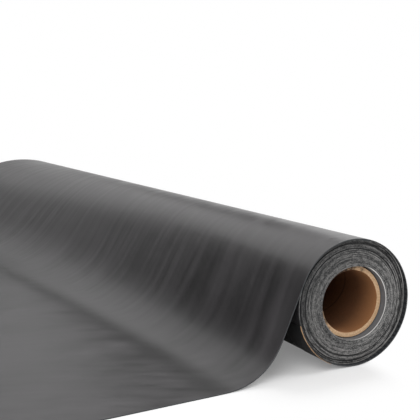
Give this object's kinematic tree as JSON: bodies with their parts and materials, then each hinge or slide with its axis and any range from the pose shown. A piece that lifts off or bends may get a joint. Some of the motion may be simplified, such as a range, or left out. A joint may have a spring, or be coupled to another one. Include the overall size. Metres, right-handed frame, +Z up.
{
  "type": "roll of rubber roofing membrane",
  "caption": "Roll of black rubber roofing sheet on a cardboard core, lying on its side with its loose end pulled off over the ground in a twisted drape.",
  "frame": {"origin": "on the roll's axis, halfway along the core tube", "axes": "+Y along the axis, from the near end to the far end; -X is the side that the loose end runs to; +Z up"},
  "size_m": [0.6315, 1.7104, 0.1591],
  "materials": {
    "membrane": "smooth black EPDM rubber sheet, dusted grey by talc, faint streaks along its length",
    "core": "spiral-wound brown cardboard tube with cut ends",
    "slip": "plain brown kraft paper"
  },
  "bodies": {
    "root": {"membrane": "membrane", "core_tube": "core", "paper_slip": "slip"}
  },
  "joints": []
}
